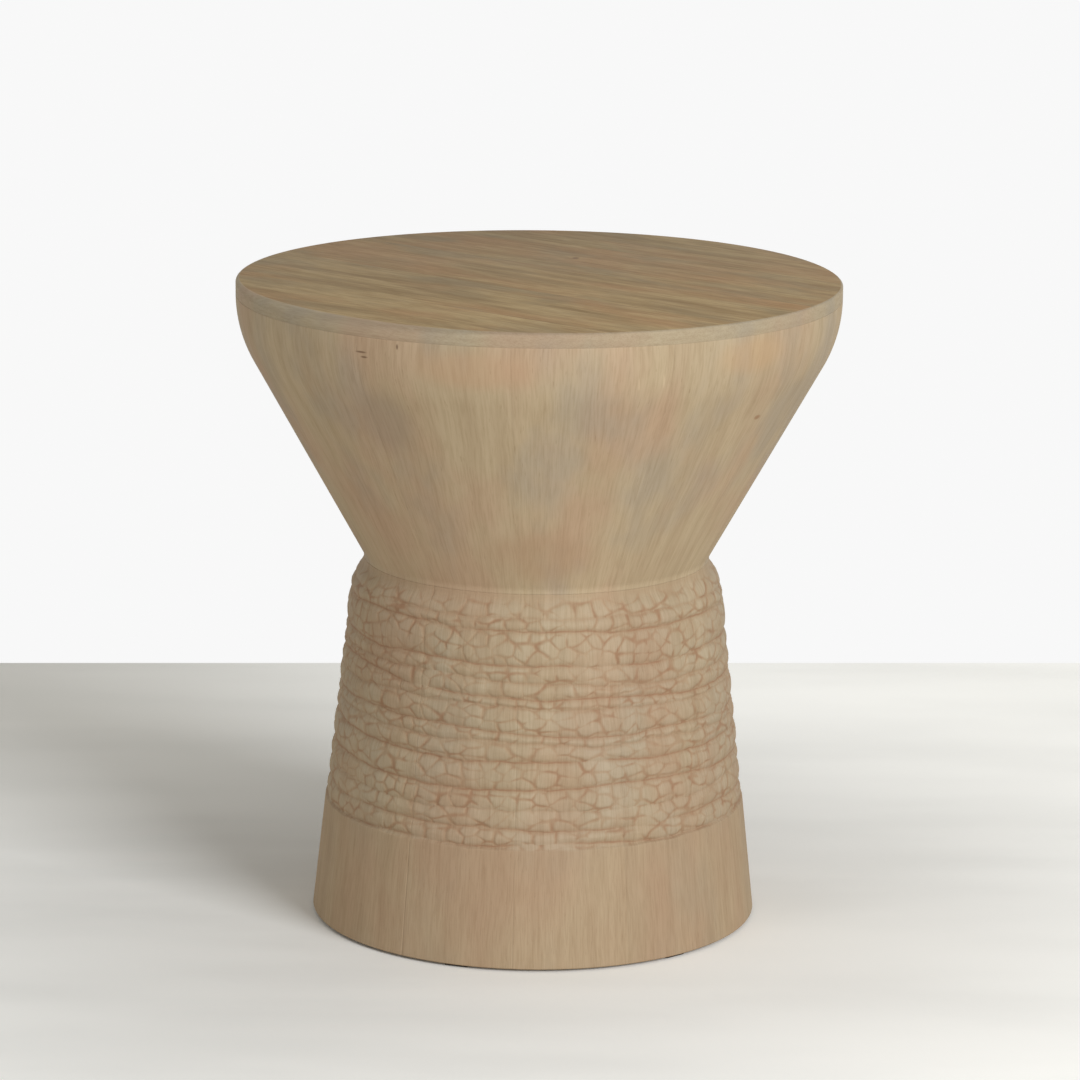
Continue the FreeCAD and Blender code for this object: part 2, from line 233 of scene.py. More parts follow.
@dataclass(frozen=True)
class WoodFinish:
    """Dry unvarnished wood whose fibres follow the mesh's grain attribute."""

    name: str
    pale: Colour
    deep: Colour
    pink: Colour
    grey: Colour
    stain: Colour = (146, 107, 79)
    clouds_follow: Clouds = Clouds.TABLE
    cloud: float = 0.6
    streak: float = 0.45
    fibre: float = 0.45
    roughness: float = 0.72
    bump: float = 0.12
    blemishes: tuple[Blemish, ...] = ()

    def material(self) -> Material:
        """Build the material: clouds of tone, streaks, fibres, pores, stained carving with crests paled
        partly as a painted highlight, and small marks.

        Returns:
            The material.
        """
        material, graph, shader = new_material(self.name)
        grain = graph.attribute("grain", "Vector")
        sway = graph.vector("SUBTRACT", graph.noise(grain, 12.0, 1.0, output="Color"), (0.5, 0.5, 0.5))
        bent = graph.vector("ADD", grain, graph.scaled(sway, 0.008))
        narrow = graph.noise(graph.vector("MULTIPLY", bent, (380.0, 20.0, 90.0)), 1.0, 4.0)
        fibre = graph.noise(graph.vector("MULTIPLY", bent, (950.0, 55.0, 200.0)), 1.0, 3.0)
        pores = graph.noise(graph.vector("MULTIPLY", bent, (1100.0, 100.0, 200.0)), 1.0, 1.0, 7.0)
        colour = self.clouds(graph, bent)
        darker = graph.mix(1.0, colour, (0.78, 0.74, 0.68, 1.0), "MULTIPLY")
        colour = graph.mix(graph.ease(narrow, 0.44, 0.70, 0.0, self.fibre * 0.8), colour, darker)
        colour = graph.mix(graph.ease(fibre, 0.44, 0.66) * self.fibre, colour, darker)
        pored = graph.ease(pores, 0.66, 0.76, 0.0, 0.5)
        colour = graph.mix(pored, colour, (0.68, 0.62, 0.54, 1.0), "MULTIPLY")
        shade = graph.attribute("tone") * 0.04 + 1.0
        shades = graph.field("ShaderNodeCombineColor", {0: shade, 1: shade, 2: shade})
        colour = self.carving(graph, graph.mix(1.0, colour, shades, "MULTIPLY"))
        for mark in self.blemishes:
            colour = graph.mix(mark.share(graph), colour, linear(mark.colour))
        graph.feed(shader, {
            "Base Color": colour,
            "Roughness": (narrow - 0.5) * 0.25 + self.roughness,
            "Normal": graph.bump(fibre * 0.6 + pores * -0.5, self.bump, 0.4 * MM),
            "Specular IOR Level": 0.28,
        })
        return material

    def clouds(self, graph: Graph, bent: Field) -> Field:
        """Colour the wood before its fibres: short soft streaks, and clouds of pink and grey.

        Args:
            graph: Graph of the material.
            bent: Position along and across the grain.

        Returns:
            The colour.
        """
        broad = graph.noise(graph.vector("MULTIPLY", bent, (70.0, 8.0, 40.0)), 1.0, 4.0)
        if self.clouds_follow is Clouds.TABLE:
            drift = graph.vector("MULTIPLY", graph.place(), (1.0, 1.0, 0.5))
        else:
            drift = graph.vector("MULTIPLY", bent, (1.7, 0.6, 0.3))
        colour = graph.mix(graph.ease(broad, 0.32, 0.70) * self.streak, linear(self.pale), linear(self.deep))
        pink = graph.ease(graph.noise(drift, 12.0, 3.0, 3.0), 0.43, 0.66, 0.0, self.cloud)
        grey = graph.ease(graph.noise(drift, 16.0, 3.0, 11.0), 0.45, 0.68, 0.0, self.cloud)
        return graph.mix(grey, graph.mix(pink, colour, linear(self.pink)), linear(self.grey))

    def carving(self, graph: Graph, colour: Field) -> Field:
        """Colour with the carving's crests paled, partly as sanding and partly as a painted highlight, and
        its cuts stained, where the mesh has any.
        """
        # Crest share pales the wood: partly stain taken off by sanding, partly a painted highlight where
        # light would catch the raised wood.
        sanded_and_highlit = graph.mix(graph.attribute("crest"), colour, (1.07, 1.15, 1.22, 1.0), "MULTIPLY")
        return graph.mix(graph.attribute("carve") * 0.8, sanded_and_highlit, linear(self.stain))


@dataclass(frozen=True)
class PlainWoodFinish:
    """Sawn wood of a hidden piece, with grain along one axis of the table."""

    name: str
    pale: Colour
    deep: Colour
    stretch: Point
    roughness: float = 0.78

    def material(self) -> Material:
        """Build the material from long streaks and fine saw lines.

        Returns:
            The material.
        """
        material, graph, shader = new_material(self.name)
        long = graph.vector("MULTIPLY", graph.place(), self.stretch)
        streak = graph.ease(graph.noise(long, 1.0, 4.0), 0.35, 0.68)
        fine = graph.noise(graph.scaled(long, 9.0), 1.0, 2.0, 5.0)
        colour = graph.mix(streak, linear(self.pale), linear(self.deep))
        lines = graph.ease(fine, 0.5, 0.7, 0.0, 0.7)
        graph.feed(shader, {
            "Base Color": graph.mix(lines, colour, (0.82, 0.79, 0.74, 1.0), "MULTIPLY"),
            "Normal": graph.bump(fine, 0.15, 0.3 * MM),
            "Roughness": self.roughness,
        })
        return material


@dataclass(frozen=True)
class FeltFinish:
    """Pressed felt with a fuzzy mottled face."""

    name: str
    dark: Colour
    light: Colour

    def material(self) -> Material:
        """Build the material from matted fibres and a soft sheen.

        Returns:
            The material.
        """
        material, graph, shader = new_material(self.name)
        matted = graph.noise(graph.place(), 1900.0, 3.0)
        graph.feed(shader, {
            "Base Color": graph.mix(graph.ease(matted, 0.35, 0.68), linear(self.dark), linear(self.light)),
            "Normal": graph.bump(matted, 0.5, 0.4 * MM),
            "Roughness": 0.95,
            "Sheen Weight": 0.3,
        })
        return material


@dataclass(frozen=True)
class FloorFinish:
    """Pale trowelled floor that the camera sees brighter than the table does, with painted shade near the
    table and to the left and painted light at the back and to the right.
    """

    name: str
    pale: Colour
    deep: Colour
    bounce: Colour = (251, 242, 229)
    # Camera-only gains: low near the table and on the left as painted shade, high far off, at the back and on
    # the right as painted light.
    near_gain: float = 1.2
    far_gain: float = 1.55
    back_gain: float = 1.08
    left_gain: float = 0.93
    right_gain: float = 1.07

    def material(self) -> Material:
        """Build the material from faint trowel marks; to the camera it is painted brighter away from the
        table, at the back and to the right, and darker near the table and to the left, as painted shade.

        Returns:
            The material.
        """
        material, graph, shader = new_material(self.name)
        place = graph.place()
        marks = graph.noise(graph.vector("MULTIPLY", place, (2.2, 9.0, 1.0)), 1.0, 6.0)
        colour = graph.mix(graph.ease(marks, 0.35, 0.7), linear(self.pale), linear(self.deep))
        side, back, _ = graph.outputs("ShaderNodeSeparateXYZ", {0: place}).values()
        # Painted shade and light on the floor: the camera's gain falls near the table and to the left, and
        # rises far off, at the back and to the right.
        gain = graph.ease(graph.length(place), 0.2, 0.8, self.near_gain, self.far_gain)
        gain = gain * graph.ease(back, 0.0, 0.8, 1.0, self.back_gain)
        gain = gain * graph.ease(side, -0.4, 0.4, self.left_gain, self.right_gain)
        seen = graph.field("ShaderNodeLightPath", None, "Is Camera Ray")
        bounced = graph.mix(1.0, colour, linear(self.bounce), "MULTIPLY")
        graph.feed(shader, {
            "Base Color": graph.mix(seen, bounced, graph.scaled(colour, gain)),
            "Roughness": 0.9,
            "Specular IOR Level": 0.1,
        })
        return material


def new_piece(name: str, points: np.ndarray, faces: list[list[int]], flats: int = 0) -> Piece:
    """Make a mesh object at the origin.

    Args:
        name: Name of the piece.
        points: Its vertices in metres, one row each.
        faces: Its faces, each a row of vertex numbers that turns outwards.
        flats: How many of the last faces aren't shaded smooth.

    Returns:
        The new object, linked to the scene.
    """
    mesh = bpy.data.meshes.new(name)
    mesh.from_pydata(points.tolist(), [], faces)
    mesh.polygons.foreach_set("use_smooth", [True] * (len(faces) - flats) + [False] * flats)
    mesh.update()
    piece = bpy.data.objects.new(name, mesh)
    bpy.context.scene.collection.objects.link(piece)
    return piece


def strips(rows: int, columns: int, closed: bool) -> np.ndarray:
    """Number the corners of the faces between neighbouring rows of points.

    Args:
        rows: Number of rows.
        columns: Points in each row.
        closed: Whether each row's last point meets its first one.

    Returns:
        Four vertex numbers for each face.
    """
    grid = np.arange(rows * columns).reshape(rows, columns)
    if closed:
        grid = np.column_stack([grid, grid[:, 0]])
    return np.stack([grid[:-1, :-1], grid[:-1, 1:], grid[1:, 1:], grid[1:, :-1]], 2).reshape(-1, 4)


def turned(points: np.ndarray, degrees: float) -> np.ndarray:
    """Turn points in millimetres about the table's axis, and give them in metres."""
    cosine, sine = math.cos(math.radians(degrees)), math.sin(math.radians(degrees))
    return points @ np.array([[cosine, sine, 0], [-sine, cosine, 0], [0, 0, 1]]) * MM


def fall(distance: np.ndarray, bend: float) -> np.ndarray:
    """How far an arc of radius bend has left its tangent, at a distance along the tangent."""
    return bend - np.sqrt(bend ** 2 - np.clip(distance, 0, bend) ** 2)


def store(piece: Piece, name: str, values: np.ndarray) -> None:
    """Keep a number or a row of three for each vertex of a piece as a named attribute."""
    kind, member = ("FLOAT_VECTOR", "vector") if values.ndim == 2 else ("FLOAT", "value")
    piece.data.attributes.new(name, kind, "POINT").data.foreach_set(member, values.astype(np.float32).ravel())


def new_tree(name: str, inputs: dict[str, str]) -> Tree:
    """Start a Geometry Nodes tree from a shape, named inputs and a finish to a shape.

    Args:
        name: Name of the tree.
        inputs: Kind of each named input.

    Returns:
        The tree.
    """
    tree = bpy.data.node_groups.new(name, "GeometryNodeTree")
    for label, kind in {"Geometry": "Geometry", **inputs, "Finish": "Material"}.items():
        tree.interface.new_socket(label, in_out="INPUT", socket_type=f"NodeSocket{kind}")
    tree.interface.new_socket("Geometry", in_out="OUTPUT", socket_type="NodeSocketGeometry")
    return tree


def end_tree(graph: Graph, shape: Field, finish: Field) -> None:
    """Make a tree's shape real, give it its finish and put it out."""
    inputs = {"Geometry": graph.field("GeometryNodeRealizeInstances", {0: shape}), "Material": finish}
    graph.add("NodeGroupOutput", {0: graph.field("GeometryNodeSetMaterial", inputs)})


def run_tree(piece: Piece, tree: Tree, values: dict[str, object]) -> None:
    """Run a Geometry Nodes tree on a piece and keep its result as the piece's plain mesh.

    Args:
        piece: Object whose mesh the tree changes.
        tree: The tree.
        values: A value for each of the tree's named inputs.
    """
    modifier = piece.modifiers.new(tree.name, "NODES")
    modifier.node_group = tree
    for item in tree.interface.items_tree:
        if item.item_type == "SOCKET" and item.in_out == "INPUT" and item.name in values:
            modifier[item.identifier] = values[item.name]
    depsgraph = bpy.context.evaluated_depsgraph_get()
    result = bpy.data.meshes.new_from_object(
        piece.evaluated_get(depsgraph), preserve_all_data_layers=True, depsgraph=depsgraph
    )
    piece.modifiers.remove(modifier)
    result.name = piece.name
    piece.data = result


def hand_over(piece: Piece, slot: Slot, *nodes: str) -> None:
    """Parent a finished piece to the table's body and hide the nodes that it stands for.

    Args:
        piece: The piece.
        slot: Its material slot; not used.
        nodes: The nodes that it replaces.
    """
    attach(piece, BODY)
    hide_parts(*nodes)
    log.info("%s: %d faces, in place of %s", piece.name, len(piece.data.polygons), ", ".join(nodes))


@dataclass(frozen=True)
class GougeLine:
    """One long groove round the carved band."""

    height: float
    slope: float
    strength: float


@dataclass
class ChiselWork:
    """Geometry Nodes tree that carves the band: long wandering grooves and pebble cells between them."""

    lines: tuple[GougeLine, ...] = tuple(GougeLine(*line) for line in (
        (102.0, 0.002, 1.0), (117.0, -0.004, 0.95), (134.0, -0.008, 0.55), (150.0, -0.014, 1.0),
        (172.0, -0.020, 1.0), (187.0, -0.026, 0.8), (196.0, -0.034, 0.95), (217.0, -0.036, 0.75),
        (226.0, -0.040, 1.0), (238.0, -0.034, 0.85), (252.0, -0.026, 1.0), (282.0, -0.022, 1.0),
        (290.0, -0.012, 0.7),
    ))
    girth: float = 172.0
    settings: dict[str, float] = field(default_factory=lambda: {
        "Band Bottom": 101.0 * MM,
        "Band Top": 310.0 * MM,
        "Recess": 0.3 * MM,
        "Groove Depth": 3.4 * MM,
        "Groove Width": 4.2 * MM,
        "Cell Size": 12.5 * MM,
        "Cell Depth": 0.3 * MM,
        "Seed": 4.0,
    })
    tree: Tree = field(init=False)
    graph: Graph = field(init=False)
    entry: dict[str, Field] = field(init=False)
    place: Field = field(init=False)
    groove: Field = field(init=False)
    cell: Field = field(init=False)
    mask: Field = field(init=False)

    def __post_init__(self) -> None:
        """Build the tree once for all the staves."""
        self.tree = new_tree("chisel_work", dict.fromkeys(self.settings, "Float"))
        self.graph = Graph(self.tree)
        self.entry = self.graph.outputs("NodeGroupInput")
        self.place = self.graph.field("GeometryNodeInputPosition")
        self.wire()

    def wire(self) -> None:
        """Join the fields of the carving and end the tree."""
        graph = self.graph
        x, y, z = graph.outputs("ShaderNodeSeparateXYZ", {0: self.place}).values()
        height = z + (self.noise(75.0, 2.0, 0.0) - 0.5) * (3.4 * MM)
        self.groove, course = self.groove_distance(x, height)
        self.cell = self.cell_distance(course)
        self.mask = graph.ease(self.noise(52.0, 2.0, 31.0), 0.30, 0.52, 0.25, 1.0)
        inside = self.band_share(height)
        named = {"Name": "outer"}
        outer = graph.field("GeometryNodeInputNamedAttribute", named, "Attribute", data_type="FLOAT")
        depth = self.depth() * inside * outer
        outward = graph.vector("NORMALIZE", graph.field("ShaderNodeCombineXYZ", {0: x, 1: y}))
        near = graph.math("MINIMUM", self.groove, self.cell)
        # Crest share: paler cell middles away from the cuts, partly worn-off stain and partly a painted
        # highlight on the raised wood.
        rubbed_and_highlit = graph.ease(self.noise(38.0, 2.0, 77.0), 0.36, 0.6, 0.3, 1.0)
        crest = graph.ease(near, 0.5 * MM, 3.0 * MM) * rubbed_and_highlit * inside
        shape = self.entry["Geometry"]
        for name, value in (("carve", self.stain() * inside), ("crest", crest)):
            inputs = {"Geometry": shape, "Name": name, "Value": value}
            shape = graph.field("GeometryNodeStoreNamedAttribute", inputs, data_type="FLOAT", domain="POINT")
        inputs = {"Geometry": shape, "Offset": graph.scaled(outward, depth * -1.0)}
        end_tree(graph, graph.field("GeometryNodeSetPosition", inputs), self.entry["Finish"])

    def noise(self, scale: float, detail: float, shift: float, output: str | int = 0) -> Field:
        """Soft random pattern over all the staves, which the tree's seed and a shift set."""
        return self.graph.noise(self.place, scale, detail, self.entry["Seed"] + shift, output)

    def depth(self) -> Field:
        """Find how deep the chisel went below the blank.

        Returns:
            The depth.
        """
        graph, entry, cell, mask = self.graph, self.entry, self.cell, self.mask
        blunt = graph.math("SQRT", self.groove * self.groove + (1.0 * MM) ** 2)
        valley = graph.math("EXPONENT", graph.math("DIVIDE", blunt * -1.0, entry["Groove Width"]))
        scratch = mask * graph.ease(cell, 0.0, 1.8 * MM, 1.0, 0.0)
        pebble = mask * graph.ease(cell, 0.2 * MM, 3.6 * MM, 0.0, 0.25 * MM)
        rough = (self.noise(90.0, 1.0, 5.0) - 0.5) * (0.6 * MM)
        depth = entry["Recess"] + valley * entry["Groove Depth"] + scratch * entry["Cell Depth"]
        return graph.math("MAXIMUM", depth + rough - pebble, 0.0)

    def stain(self) -> Field:
        """Find how much stain is left: a thin dark core in each cut, and a faint halo round it.

        Returns:
            The share of stain.
        """
        graph, groove, cell = self.graph, self.groove, self.cell
        blot = self.noise(85.0, 2.0, 60.0)
        line = graph.ease(groove, 0.1 * MM, 1.2 * MM, 1.0, 0.0) * graph.ease(blot, 0.32, 0.58, 0.5, 0.95)
        halo = graph.ease(groove, 0.4 * MM, 4.0 * MM, 0.2, 0.0)
        edge = graph.ease(cell, -0.6 * MM, 2.1 * MM, 1.0, 0.0) * graph.ease(blot, 0.34, 0.62, 0.2, 0.82)
        smear = graph.ease(cell, 0.3 * MM, 3.4 * MM, 0.12, 0.0)
        cells = self.mask * graph.math("MAXIMUM", edge, smear)
        return graph.math("MAXIMUM", graph.math("MAXIMUM", line, halo), cells)

    def groove_distance(self, x: Field, height: Field) -> tuple[Field, Field]:
        """Measure the distance to the nearest long groove, and count the grooves below.

        Args:
            x: Distance to the right of the axis.
            height: Height on the stave, rippled a little.

        Returns:
            The distance and the count.
        """
        graph = self.graph
        nearest: Value = 1.0
        below: Value = 0.0
        for number, line in enumerate(self.lines):
            shift = self.entry["Seed"] + 3.1 * number
            wander = (graph.noise(self.place, 8.0, 2.0, shift) - 0.5) * (20.0 * MM)
            gap = height - (x * line.slope + line.height * MM + wander)
            breaks = graph.noise(self.place, 13.0, 1.0, shift + 90.0)
            lift = (graph.ease(breaks, 0.26, 0.42, 0.0, line.strength) - 1.0) * (-4.0 * MM)
            nearest = graph.math("MINIMUM", nearest, graph.math("ABSOLUTE", gap) + lift)
            below = graph.math("GREATER_THAN", gap, 0.0) + below
        return nearest, below

    def cell_distance(self, course: Field) -> Field:
        """Measure the distance to the nearest short cut: the edges of pebble cells, wider where three meet.

        Args:
            course: Number of long grooves below, which moves the cells and sets their width.

        Returns:
            The distance.
        """
        graph = self.graph
        size = self.entry["Cell Size"]
        jitter = graph.vector("SUBTRACT", self.noise(48.0, 1.0, 17.0, "Color"), (0.5, 0.5, 0.5))
        moved = graph.vector("ADD", self.place, graph.scaled(jitter, 10.0 * MM))
        x, y, z = graph.outputs("ShaderNodeSeparateXYZ", {0: moved}).values()
        along = graph.math("ARCTAN2", x, y * -1.0) * (self.girth * MM)
        width = graph.math("FRACT", course * 0.618) * 0.34 + 0.62
        unrolled = graph.field("ShaderNodeCombineXYZ", {0: along * width + course * 0.137, 1: z * 1.2})
        inputs = {"Vector": unrolled, "Scale": graph.math("DIVIDE", 1.0, size), "Randomness": 0.9}
        edge, middle = (
            graph.field("ShaderNodeTexVoronoi", inputs, "Distance", feature=feature, voronoi_dimensions="2D")
            for feature in ("DISTANCE_TO_EDGE", "F1")
        )
        lift = graph.ease(self.noise(60.0, 1.0, 43.0), 0.32, 0.54, 2.0 * MM, 0.0)
        return (edge + (middle - 0.5) * -0.3) * size + lift

    def band_share(self, height: Field) -> Field:
        """How far a height lies inside the carved band: 1 in it and 0 past its borders."""
        bottom = self.graph.ease(height - self.entry["Band Bottom"], -0.6 * MM, 1.2 * MM)
        return bottom * self.graph.ease(self.entry["Band Top"] - height, 1.0 * MM, 11.0 * MM)


@dataclass
class StaveRing:
    """Twelve mitred staves round the table's axis, with lengths in millimetres."""

    finish: Material
    name: str = ""
    slot: Slot = Slot.FLARE
    count: int = 12
    first_angle: float = 10.0
    column_width: float = 3.0
    seam_depth: float = 0.25
    seam_width: float = 0.7
    grain_girth: float = 190.0
    grain_step: float = 0.73
    thickness: float = 38.0
    waist_radius: float = 146.4
    waist_cove: float = 12.0
    waist_bore: float = 128.3
    tones: tuple[float, ...] = (0.3, -0.5, 0.1, 0.6, -0.3, 0.4, -0.6, 0.2, -0.1, 0.5, -0.4, 0.0)

    def heights(self) -> np.ndarray:
        """Heights of the rows of the outer face."""
        raise NotImplementedError

    def radii(self, heights: np.ndarray) -> np.ndarray:
        """Radius of the outer face at each height."""
        raise NotImplementedError

    def hollow(self) -> list[tuple[float, float]]:
        """Stepped line of the flat inner face from its lower end up, as distance from the axis and height."""
        raise NotImplementedError

    def build(self) -> None:
        """Make and hand over all the staves."""
        for number in range(self.count):
            label = f"{self.name}_stave_{number + 1:02d}"
            piece = self.stave(f"{label}_look", number)
            self.dress(piece)
            hand_over(piece, self.slot, label)

    def dress(self, piece: Piece) -> None:
        """Give a stave its finish."""
        piece.data.materials.append(self.finish)

    def columns(self, widest: float) -> np.ndarray:
        """Place the columns of the outer face, closer together beside the seams.

        Args:
            widest: Largest radius of the face.

        Returns:
            Angles from the stave's middle, in radians.
        """
        half = math.pi / self.count
        edge = np.array([0.0, 0.5, 1.0]) * self.seam_width / widest
        steps = max(2, round(2 * (half - edge[-1]) * widest / self.column_width))
        middle = np.linspace(-half + edge[-1], half - edge[-1], steps + 1)
        return np.concatenate([-half + edge[:-1], middle, half - edge[:-1][::-1]])

    def stave(self, name: str, number: int) -> Piece:
        """Make one closed stave with its grain and tone attributes.

        Args:
            name: Name of the piece.
            number: Its place round the ring, from 0.

        Returns:
            The stave.
        """
        heights = self.heights()
        radii = self.radii(heights)
        angles = self.columns(float(radii.max()))
        rows, width = len(heights), len(angles)
        half = math.pi / self.count
        from_seam = (half - np.abs(angles))[None, :] * radii[:, None]
        reach = radii[:, None] - self.seam_depth * np.clip(1 - from_seam / self.seam_width, 0, 1)
        upright = np.repeat(heights[:, None], width, 1)
        face = np.stack([reach * np.cos(angles), reach * np.sin(angles), upright], 2).reshape(-1, 3)
        line = np.array(self.hollow())
        tilt = line[:, 0] * math.tan(half)
        sides = [np.column_stack([line[:, 0], side, line[:, 1]]) for side in (-tilt, tilt)]
        points = np.concatenate([face, *sides])
        grid = np.arange(len(face)).reshape(rows, width)
        right, left = np.arange(len(face), len(points)).reshape(2, -1).tolist()
        faces = strips(rows, width, closed=False).tolist()
        flats = [
            grid[:, 0][::-1].tolist() + right,
            grid[:, -1].tolist() + left[::-1],
            grid[0][::-1].tolist() + [right[0], left[0]],
            grid[-1].tolist() + [left[-1], right[-1]],
        ]
        for step in range(len(line) - 1):
            flats.append([right[step], right[step + 1], left[step + 1], left[step]])
        place = turned(points, self.first_angle + 360 / self.count * number)
        piece = new_piece(name, place, faces + flats, len(flats))
        store(piece, "outer", np.where(np.arange(len(points)) < len(face), 1.0, 0.0))
        across = np.arctan2(points[:, 1], points[:, 0]) * self.grain_girth
        layer = np.full(len(points), self.grain_step * (number + 1))
        store(piece, "grain", np.column_stack([across * MM, points[:, 2] * MM, layer]))
        store(piece, "tone", np.full(len(points), self.tones[number]))
        return piece


@dataclass
class UpperRing(StaveRing):
    """Flared staves from the waist to the rim."""

    name: str = "upper"
    low: float = 310.0
    high: float = 535.0
    top_radius: float = 254.0
    rim_round: float = 110.0
    seat: float = 18.0
    rim_bore: float = 228.5
    edge_ease: float = 0.15
    seam_depth: float = 0.12

    def flare(self) -> float:
        """Angle of the straight flare from upright, in radians, tangent to the cove and to the rim round."""
        bends, rise = self.waist_cove + self.rim_round, self.high - self.low
        run = self.waist_radius - self.top_radius + bends
        return math.asin(bends / math.hypot(run, rise)) - math.atan(run / rise)

    def straight(self, heights: np.ndarray) -> np.ndarray:
        """Radius of the straight flare at each height, carried on past its ends."""
        start = self.waist_radius + self.waist_cove * (1 - 1 / math.cos(self.flare()))
        return start + (heights - self.low) * math.tan(self.flare())

    def heights(self) -> np.ndarray:
        """Set rows close together at both ends, where the face is curved and eased.

        Returns:
            The rows' heights.
        """
        ends = np.array([0.0, 0.08, 0.15, 1.0])
        cove = np.arange(2.0, 8.0)
        middle = np.linspace(self.low + 8, self.high - 2, 88)
        return np.concatenate([self.low + ends, self.low + cove, middle, self.high - ends[::-1]])

    def radii(self, heights: np.ndarray) -> np.ndarray:
        """Follow the cove, the straight flare and the rim round, with both ends eased.

        Args:
            heights: Heights of the rows.

        Returns:
            The radius at each height.
        """
        turn = math.sin(self.flare())
        cove = self.waist_radius + fall(heights - self.low, self.waist_cove)
        rim = self.top_radius - fall(self.high - heights, self.rim_round)
        radii = np.where(heights > self.high - self.rim_round * turn, rim, self.straight(heights))
        radii = np.where(heights < self.low + self.waist_cove * turn, cove, radii)
        from_end = np.minimum(heights - self.low, self.high - heights)
        return radii - self.edge_ease * np.clip(1 - from_end / self.edge_ease, 0, 1)

    def hollow(self) -> list[tuple[float, float]]:
        """Line the rabbets for the waist disc and the top, and the flat face between them.

        Returns:
            The line's corners.
        """
        low, high = self.low + self.seat / 2, self.high - self.seat
        inner = self.straight(np.array([low, high])) - self.thickness / math.cos(self.flare())
        return [(self.waist_bore, self.low), (self.waist_bore, low), (inner[0], low), (inner[1], high),
                (self.rim_bore, high), (self.rim_bore, self.high)]


@dataclass
class LowerRing(StaveRing):
    """Tapered staves from the floor to the waist, carved round their middle."""

    name: str = "lower"
    slot: Slot = Slot.CARVED
    low: float = 2.0
    high: float = 310.0
    base_radius: float = 189.5
    shoulder_round: float = 36.9
    shoulder_turn: float = 42.86
    base_bore: float = 162.3
    base_seat: float = 26.0
    waist_seat: float = 301.0
    edge_ease: float = 0.2
    foot_ease: float = 1.5
    fine_start: float = 97.0
    column_width: float = 0.75
    row_height: float = 0.75
    chisel: ChiselWork = field(default_factory=ChiselWork)

    def heights(self) -> np.ndarray:
        """Set wide rows up the smooth foot, and fine rows up the carved band.

        Returns:
            The rows' heights.
        """
        toe = self.low + self.foot_ease * np.linspace(0, 1, 5)
        foot = np.linspace(toe[-1], self.fine_start, 40)[1:-1]
        fine = np.linspace(self.fine_start, self.high, round((self.high - self.fine_start) / self.row_height))
        return np.concatenate([toe, foot, fine])

    def shoulder(self) -> tuple[float, float]:
        """Radius and height where the straight face meets the shoulder."""
        turn, reach = math.radians(self.shoulder_turn), self.waist_cove + self.shoulder_round
        return self.waist_radius + reach * (1 - math.cos(turn)), self.high - reach * math.sin(turn)

    def taper(self) -> float:
        """Fall of the radius for each millimetre of height on the straight face."""
        radius, height = self.shoulder()
        return (self.base_radius - radius) / (height - self.low)

    def radii(self, heights: np.ndarray) -> np.ndarray:
        """Follow the taper, the round shoulder and the waist cove, with the foot's and the top's edges eased.

        Args:
            heights: Heights of the rows.

        Returns:
            The radius at each height.
        """
        radius, start = self.shoulder()
        straight = self.base_radius - self.taper() * (heights - self.low)
        shoulder = radius - fall(heights - start, self.shoulder_round)
        cove = self.waist_radius + fall(self.high - heights, self.waist_cove)
        cove_start = self.high - self.waist_cove * math.sin(math.radians(self.shoulder_turn))
        radii = np.where(heights < start, straight, np.where(heights < cove_start, shoulder, cove))
        radii = radii - fall(self.low + self.foot_ease - heights, self.foot_ease)
        return radii - self.edge_ease * np.clip(1 - (self.high - heights) / self.edge_ease, 0, 1)

    def hollow(self) -> list[tuple[float, float]]:
        """Line the rabbets for the base disc and the waist disc, and the flat face between them.

        Returns:
            The line's corners.
        """
        slant = math.sqrt(1 + self.taper() ** 2)
        inner = [self.base_radius - self.taper() * (z - self.low) - self.thickness * slant
                 for z in (self.base_seat, self.waist_seat)]
        return [(self.base_bore, self.low), (self.base_bore, self.base_seat), (inner[0], self.base_seat),
                (inner[1], self.waist_seat), (self.waist_bore, self.waist_seat), (self.waist_bore, self.high)]

    def dress(self, piece: Piece) -> None:
        """Carve a stave and give it its finish."""
        run_tree(piece, self.chisel.tree, {**self.chisel.settings, "Finish": self.finish})


